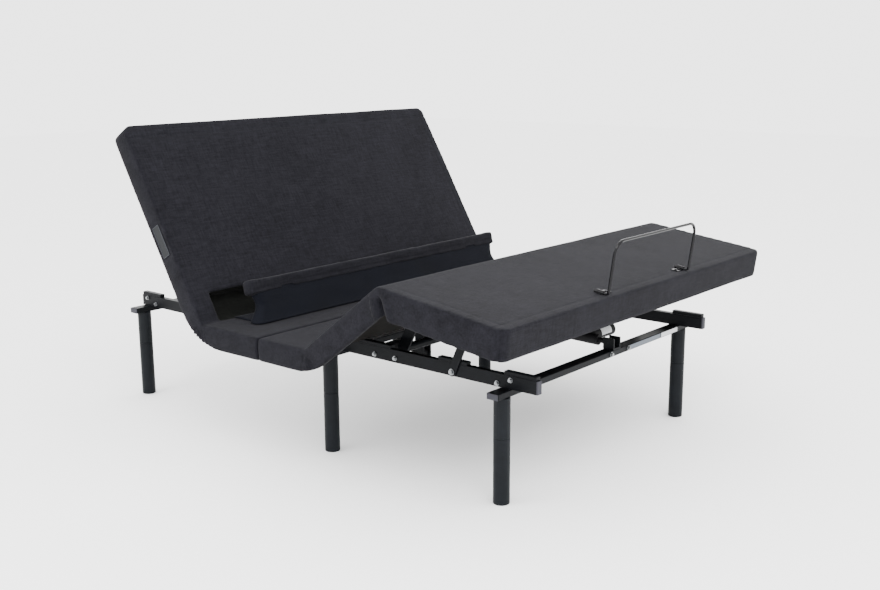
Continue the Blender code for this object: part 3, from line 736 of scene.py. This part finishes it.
def recess_liner():
    """Dark cloth pan inside the back's opening, with slots for the carriage's rods."""
    half = RECESS_HALF + LINER_TUCK
    far = RECESS_TOP + LINER_TUCK
    rim, floor = -0.0125, -0.060
    profile = [(-0.008, -0.0135), (0.004, -0.036), (0.014, -0.053), (0.028, floor)]
    profile += [(0.028 + 0.0085 * i, floor - 0.0008 * math.sin(i)) for i in range(1, 8)]
    profile += [(far - 0.014, -0.050), (far - 0.011, -0.034), (far - LINER_TUCK, rim), (far, rim)]
    xs = sorted({round(v, 4) for v in list(np.linspace(-half, half, 70))
                 + [side * (ROD_X + edge) for side in (-1, 1) for edge in (-SLOT_HALF, SLOT_HALF)]
                 + [side * (half - d) for side in (-1, 1) for d in (0.010, 0.011, 0.014, 0.020)]})
    rows = []
    for l, n in profile:
        row = []
        for x in xs:
            wall = 1 - step(np.array(half - abs(x)), LINER_TUCK, 2 * LINER_TUCK)
            sag = noise.noise(Vector((x * 7, l * 20, 0))) * 0.0018
            row.append(BACK.point(x, l, min(n + sag, rim) * (1 - wall) + rim * wall))
        rows.append(row)

    def rod_slot(r, i):
        return abs(abs((xs[i] + xs[i + 1]) / 2) - ROD_X) < SLOT_HALF and 0.040 < profile[r][0] < 0.060

    bm = bmesh.new()
    skin_rows(bm, rows, rod_slot)
    liner = thickened(new_object("recess_liner", bm, LINER), CLOTH)
    liner.data.shade_smooth()
    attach(liner, "back")
    BACK.point(0, 0, 1) - BACK.point(0, 0, 0)
    BACK.point(0, 0, -0.012)
    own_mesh(liner)


# ---- small hardware ----

def turned(bm, centre, direction, radius, length, sides, start=0.0):
    """A short bar that stands out of a face."""
    spin = Vector(direction).to_track_quat("Z", "Y").to_matrix().to_4x4()
    place = Matrix.Translation(Vector(centre) + Vector(direction) * (start + length / 2)) @ spin
    return bmesh.ops.create_cone(bm, cap_ends=True, segments=sides, radius1=radius, radius2=radius,
                                 depth=length, matrix=place)["verts"]


def bolt(bm, centre, direction, radius=0.0058):
    """A washer and a hexagon head with a low crown."""
    turned(bm, centre, direction, radius * 1.35, 0.0016, 24)
    turned(bm, centre, direction, radius * 1.05, 0.0052, 6, 0.0016)
    turned(bm, centre, direction, radius * 0.80, 0.0008, 18, 0.0068)
    turned(bm, centre, direction, radius * 0.45, 0.0006, 18, 0.0076)


def softened(name, bm, material, width, body):
    """A hard piece with its edges rounded, on a body."""
    thing = new_object(name, bm, material)
    edge = thing.modifiers.new("edge", "BEVEL")
    edge.width = width
    edge.segments = 2
    edge.limit_method = "ANGLE"
    applied(thing)
    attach(thing, body)
    return thing


def rail_bolts():
    """Zinc bolts along both rails and on the foot cross member."""
    foot_y = (MEMBER_LOW[1] + MEMBER_HIGH[1]) / 2
    foot_z = RAIL_LOW[2]
    spots = ((0.515, 0.013), (0.429, 0.014), (0.032, 0.010), (-0.016, 0.027),
             (1.703, 0.029), (1.653, 0.011))
    bm = bmesh.new()
    for side in (-1, 1):
        for along, up in spots:
            bolt(bm, (side * RAIL_HIGH[0], foot_y + along, foot_z + up), (side, 0, 0))
    for x in (0.037, 0.142):
        bolt(bm, (x, MEMBER_LOW[1], (MEMBER_LOW[2] + MEMBER_HIGH[2]) / 2), (0, -1, 0), 0.0060)
    softened("frame_bolts", bm, ZINC, 0.0004, "base")
    pivot = JOINTS["strut_hinge"]["pos_m"]
    bm = bmesh.new()
    for side in (-1, 1):
        bolt(bm, (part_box("strut_right")[1][0] * side, pivot[1], pivot[2]), (side, 0, 0), 0.0074)
    softened("strut_bolts", bm, ZINC, 0.0004, "struts")


def solid_box(bm, low, high, matrix=None):
    """A box between two corners, in the matrix's axes."""
    size = [b - a for a, b in zip(low, high)]
    middle = [(a + b) / 2 for a, b in zip(low, high)]
    place = Matrix.Translation(middle) @ Matrix.Diagonal((*size, 1))
    bmesh.ops.create_cube(bm, size=1, matrix=(matrix or Matrix.Identity(4)) @ place)


def stub_caps():
    """Grey plugs in the ends of the cross members that reach past the rails."""
    bm = bmesh.new()
    for name, sides in (("foot", (-1, 1)), ("head", (-1, 1)), ("mid_left", (-1,)), ("mid_right", (1,))):
        low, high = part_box(f"cross_member_{name}")
        for side in sides:
            x = high[0] if side > 0 else low[0]
            edges = sorted((x + side * 0.0004, x + side * 0.0032))
            solid_box(bm, (edges[0], low[1] + 0.0006, low[2] + 0.0006),
                      (edges[1], high[1] - 0.0006, high[2] - 0.0006))
    softened("cross_member_plugs", bm, GREY, 0.0012, "base")


def blank_labels():
    """Plain stickers on the foot cross member and the foot motor, with nothing printed on them."""
    front, z = MEMBER_LOW[1], (MEMBER_LOW[2] + MEMBER_HIGH[2]) / 2
    for name, x_low, x_high, finish in (("foil_label", 0.150, 0.352, SILVER),
                                        ("paper_label", 0.358, 0.470, WHITE)):
        bm = bmesh.new()
        solid_box(bm, (x_low, front - 0.0006, z - 0.0075), (x_high, front - 0.0001, z + 0.0075))
        softened(name, bm, finish, 0.0002, "base")
    motor_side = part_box("foot_motor")[1][0]
    pin, slide = JOINTS["foot_motor_hinge"]["pos_m"], JOINTS["foot_rod_slide"]["axis"]
    y, z = (pin[i] + slide[i] * 0.085 for i in (1, 2))
    bm = bmesh.new()
    skin_rows(bm, [[(x, y + MOTOR_RADIUS * math.cos(t), z + MOTOR_RADIUS * math.sin(t))
                    for t in np.linspace(math.radians(95), math.radians(190), 16)]
                   for x in np.linspace(motor_side - 0.085, motor_side - 0.025, 5)])
    label = thickened(new_object("motor_label", bm, WHITE), 0.0003, -1.0)
    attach(label, "foot_actuator")


def tag_rim():
    """Stitched border round the blank tag."""
    (l0, n0), (l1, n1) = flat_extent("side_tag", BACK)
    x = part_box("side_tag")[0][0]
    place = BACK.matrix(0, 0, 0)
    width = 0.0016
    bm = bmesh.new()
    for low, high in (((l0, n0), (l1, n0 + width)), ((l0, n1 - width), (l1, n1)),
                      ((l0, n0), (l0 + width, n1)), ((l1 - width, n0), (l1, n1))):
        solid_box(bm, (x - 0.0007, *low), (x - 0.0001, *high), place)
    softened("side_tag_rim", bm, TAG_EDGE, 0.0002, "back")


def retainer_feet():
    """Flat feet that hold the retainer bar's ends, with two screws each."""
    bar_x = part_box("retainer_bar")[1][0] - BAR_RADIUS
    feet, screws = bmesh.new(), bmesh.new()
    place = CALF.matrix(0, 0, 0)
    along, up = CALF.along(), CALF.up()
    for side in (-1, 1):
        edges = sorted((side * (bar_x - 0.040), side * (bar_x + 0.008)))
        solid_box(feet, (edges[0], -0.412, CALF_TOP + 0.0004), (edges[1], -0.386, CALF_TOP + 0.0030), place)
        start = CALF.point(side * bar_x, -0.411, CALF_TOP + 0.0048)
        turned(feet, start, along, 0.0070, 0.024, 20)
        for inward in (0.016, 0.031):
            spot = CALF.point(side * (bar_x - inward), -0.399, CALF_TOP + 0.0030)
            turned(screws, spot, up, 0.0052, 0.0012, 24)
            turned(screws, spot, up, 0.0040, 0.0014, 24, 0.0012)
            turned(screws, spot, up, 0.0018, 0.0004, 6, 0.0026)
    softened("retainer_feet", feet, ROD, 0.0006, "calf")
    softened("retainer_screws", screws, ROD, 0.0003, "calf")


def stitch_row(bm, points, up):
    """Short threads along a line of points, each dipping into the cloth at its ends."""
    for a, b in points:
        run = b - a
        side = run.normalized().cross(up) * 0.0006
        middle = (a + b) / 2
        ring = [middle + side, middle + up * 0.0008, middle - side, middle - up * 0.0004]
        verts = [bm.verts.new(p) for p in ring]
        ends = [bm.verts.new(a - up * 0.0004), bm.verts.new(b - up * 0.0004)]
        for i in range(4):
            j = (i + 1) % 4
            bm.faces.new((ends[0], verts[i], verts[j]))
            bm.faces.new((verts[j], verts[i], ends[1]))


def seam_stitches():
    """Top-stitching beside the sewn channels of the back and the calf section."""
    for name, plane, l_seam, x_seam, top, body, l_far in (
            ("back_stitches", BACK, BACK_LENGTH - BACK_SEAM_END - STITCH_GAP,
             HALF - BACK_SEAM_SIDE - STITCH_GAP, 0.0, "back", 0.20),
            ("calf_stitches", CALF, -CALF_LENGTH + CALF_SEAM + STITCH_GAP,
             HALF - CALF_SEAM - STITCH_GAP, CALF_TOP, "calf", -0.05)):
        bm = bmesh.new()
        up = plane.up()
        count = int(2 * x_seam / STITCH_PITCH)
        level = top - 0.0006
        across = [(plane.point(-x_seam + i * STITCH_PITCH, l_seam, level),
                   plane.point(-x_seam + i * STITCH_PITCH + STITCH, l_seam, level)) for i in range(count)]
        stitch_row(bm, across, up)
        low, high = sorted((l_far, l_seam))
        for side in (-1, 1):
            rows = [(plane.point(side * x_seam, low + i * STITCH_PITCH, level),
                     plane.point(side * x_seam, low + i * STITCH_PITCH + STITCH, level))
                    for i in range(int((high - low) / STITCH_PITCH))]
            stitch_row(bm, rows, up)
        threads = new_object(name, bm, THREAD)
        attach(threads, body)


# ---- stage ----

def make_stage():
    """Pale floor, white surround and three soft lights."""
    bm = bmesh.new()
    bmesh.ops.create_grid(bm, x_segments=2, y_segments=2, size=14)
    floor_nodes = Nodes("pale_floor")
    tone = floor_nodes.ramp(floor_nodes.noise(2.0, 2.0), (0.95, 0.95, 0.95), (0.97, 0.97, 0.97))
    floor = new_object("floor", bm, floor_nodes.finish(tone, 0.9))
    floor.location = (0, 0, -0.001)
    world = bpy.data.worlds.new("studio")
    world.use_nodes = True
    background = world.node_tree.nodes["Background"]
    background.inputs["Color"].default_value = (1, 1, 1, 1)
    background.inputs["Strength"].default_value = 3.4
    bpy.context.scene.world = world
    for name, place, power in (("key", (-2.6, -3.0, 4.2), 260), ("fill", (-4.5, 1.5, 2.6), 90),
                               ("front", (0.5, -5.0, 2.2), 30)):
        data = bpy.data.lights.new(name, "AREA")
        data.size = 3.0
        data.energy = power
        light = bpy.data.objects.new(name, data)
        light.location = place
        aim = Vector((0, 0, 0.4)) - Vector(place)
        light.rotation_euler = aim.to_track_quat("-Z", "Y").to_euler()
        bpy.context.scene.collection.objects.link(light)


# ---- CAD nodes that stay ----

# The first start of a name that matches gives the finish; any other node is steel.
FINISHES = (("leg_", LEG), ("rail_cap", GREY), ("control_box", BLACK), ("retainer_bar", ROD),
            ("head_rod", ZINC), ("foot_rod", ZINC), ("side_tag", TAG), ("head_motor_bracket", STEEL),
            ("foot_motor_bracket", STEEL), ("head_motor", BLACK), ("foot_motor", BLACK),
            ("seat_board", BOARD), ("back_board", BOARD), ("thigh_board", BOARD), ("calf_board", BOARD))


def dress_frame():
    """Give each CAD node its material."""
    for name, node in frame["nodes"].items():
        finish = next((m for start, m in FINISHES if name.startswith(start)), STEEL)
        for slot in node.material_slots:
            slot.material = finish


make_camera()
make_stage()
dress_frame()
head_part()
foot_part()
lumbar_ridge()
lumbar_sleeve()
recess_liner()
rail_bolts()
stub_caps()
blank_labels()
retainer_feet()
seam_stitches()
tag_rim()
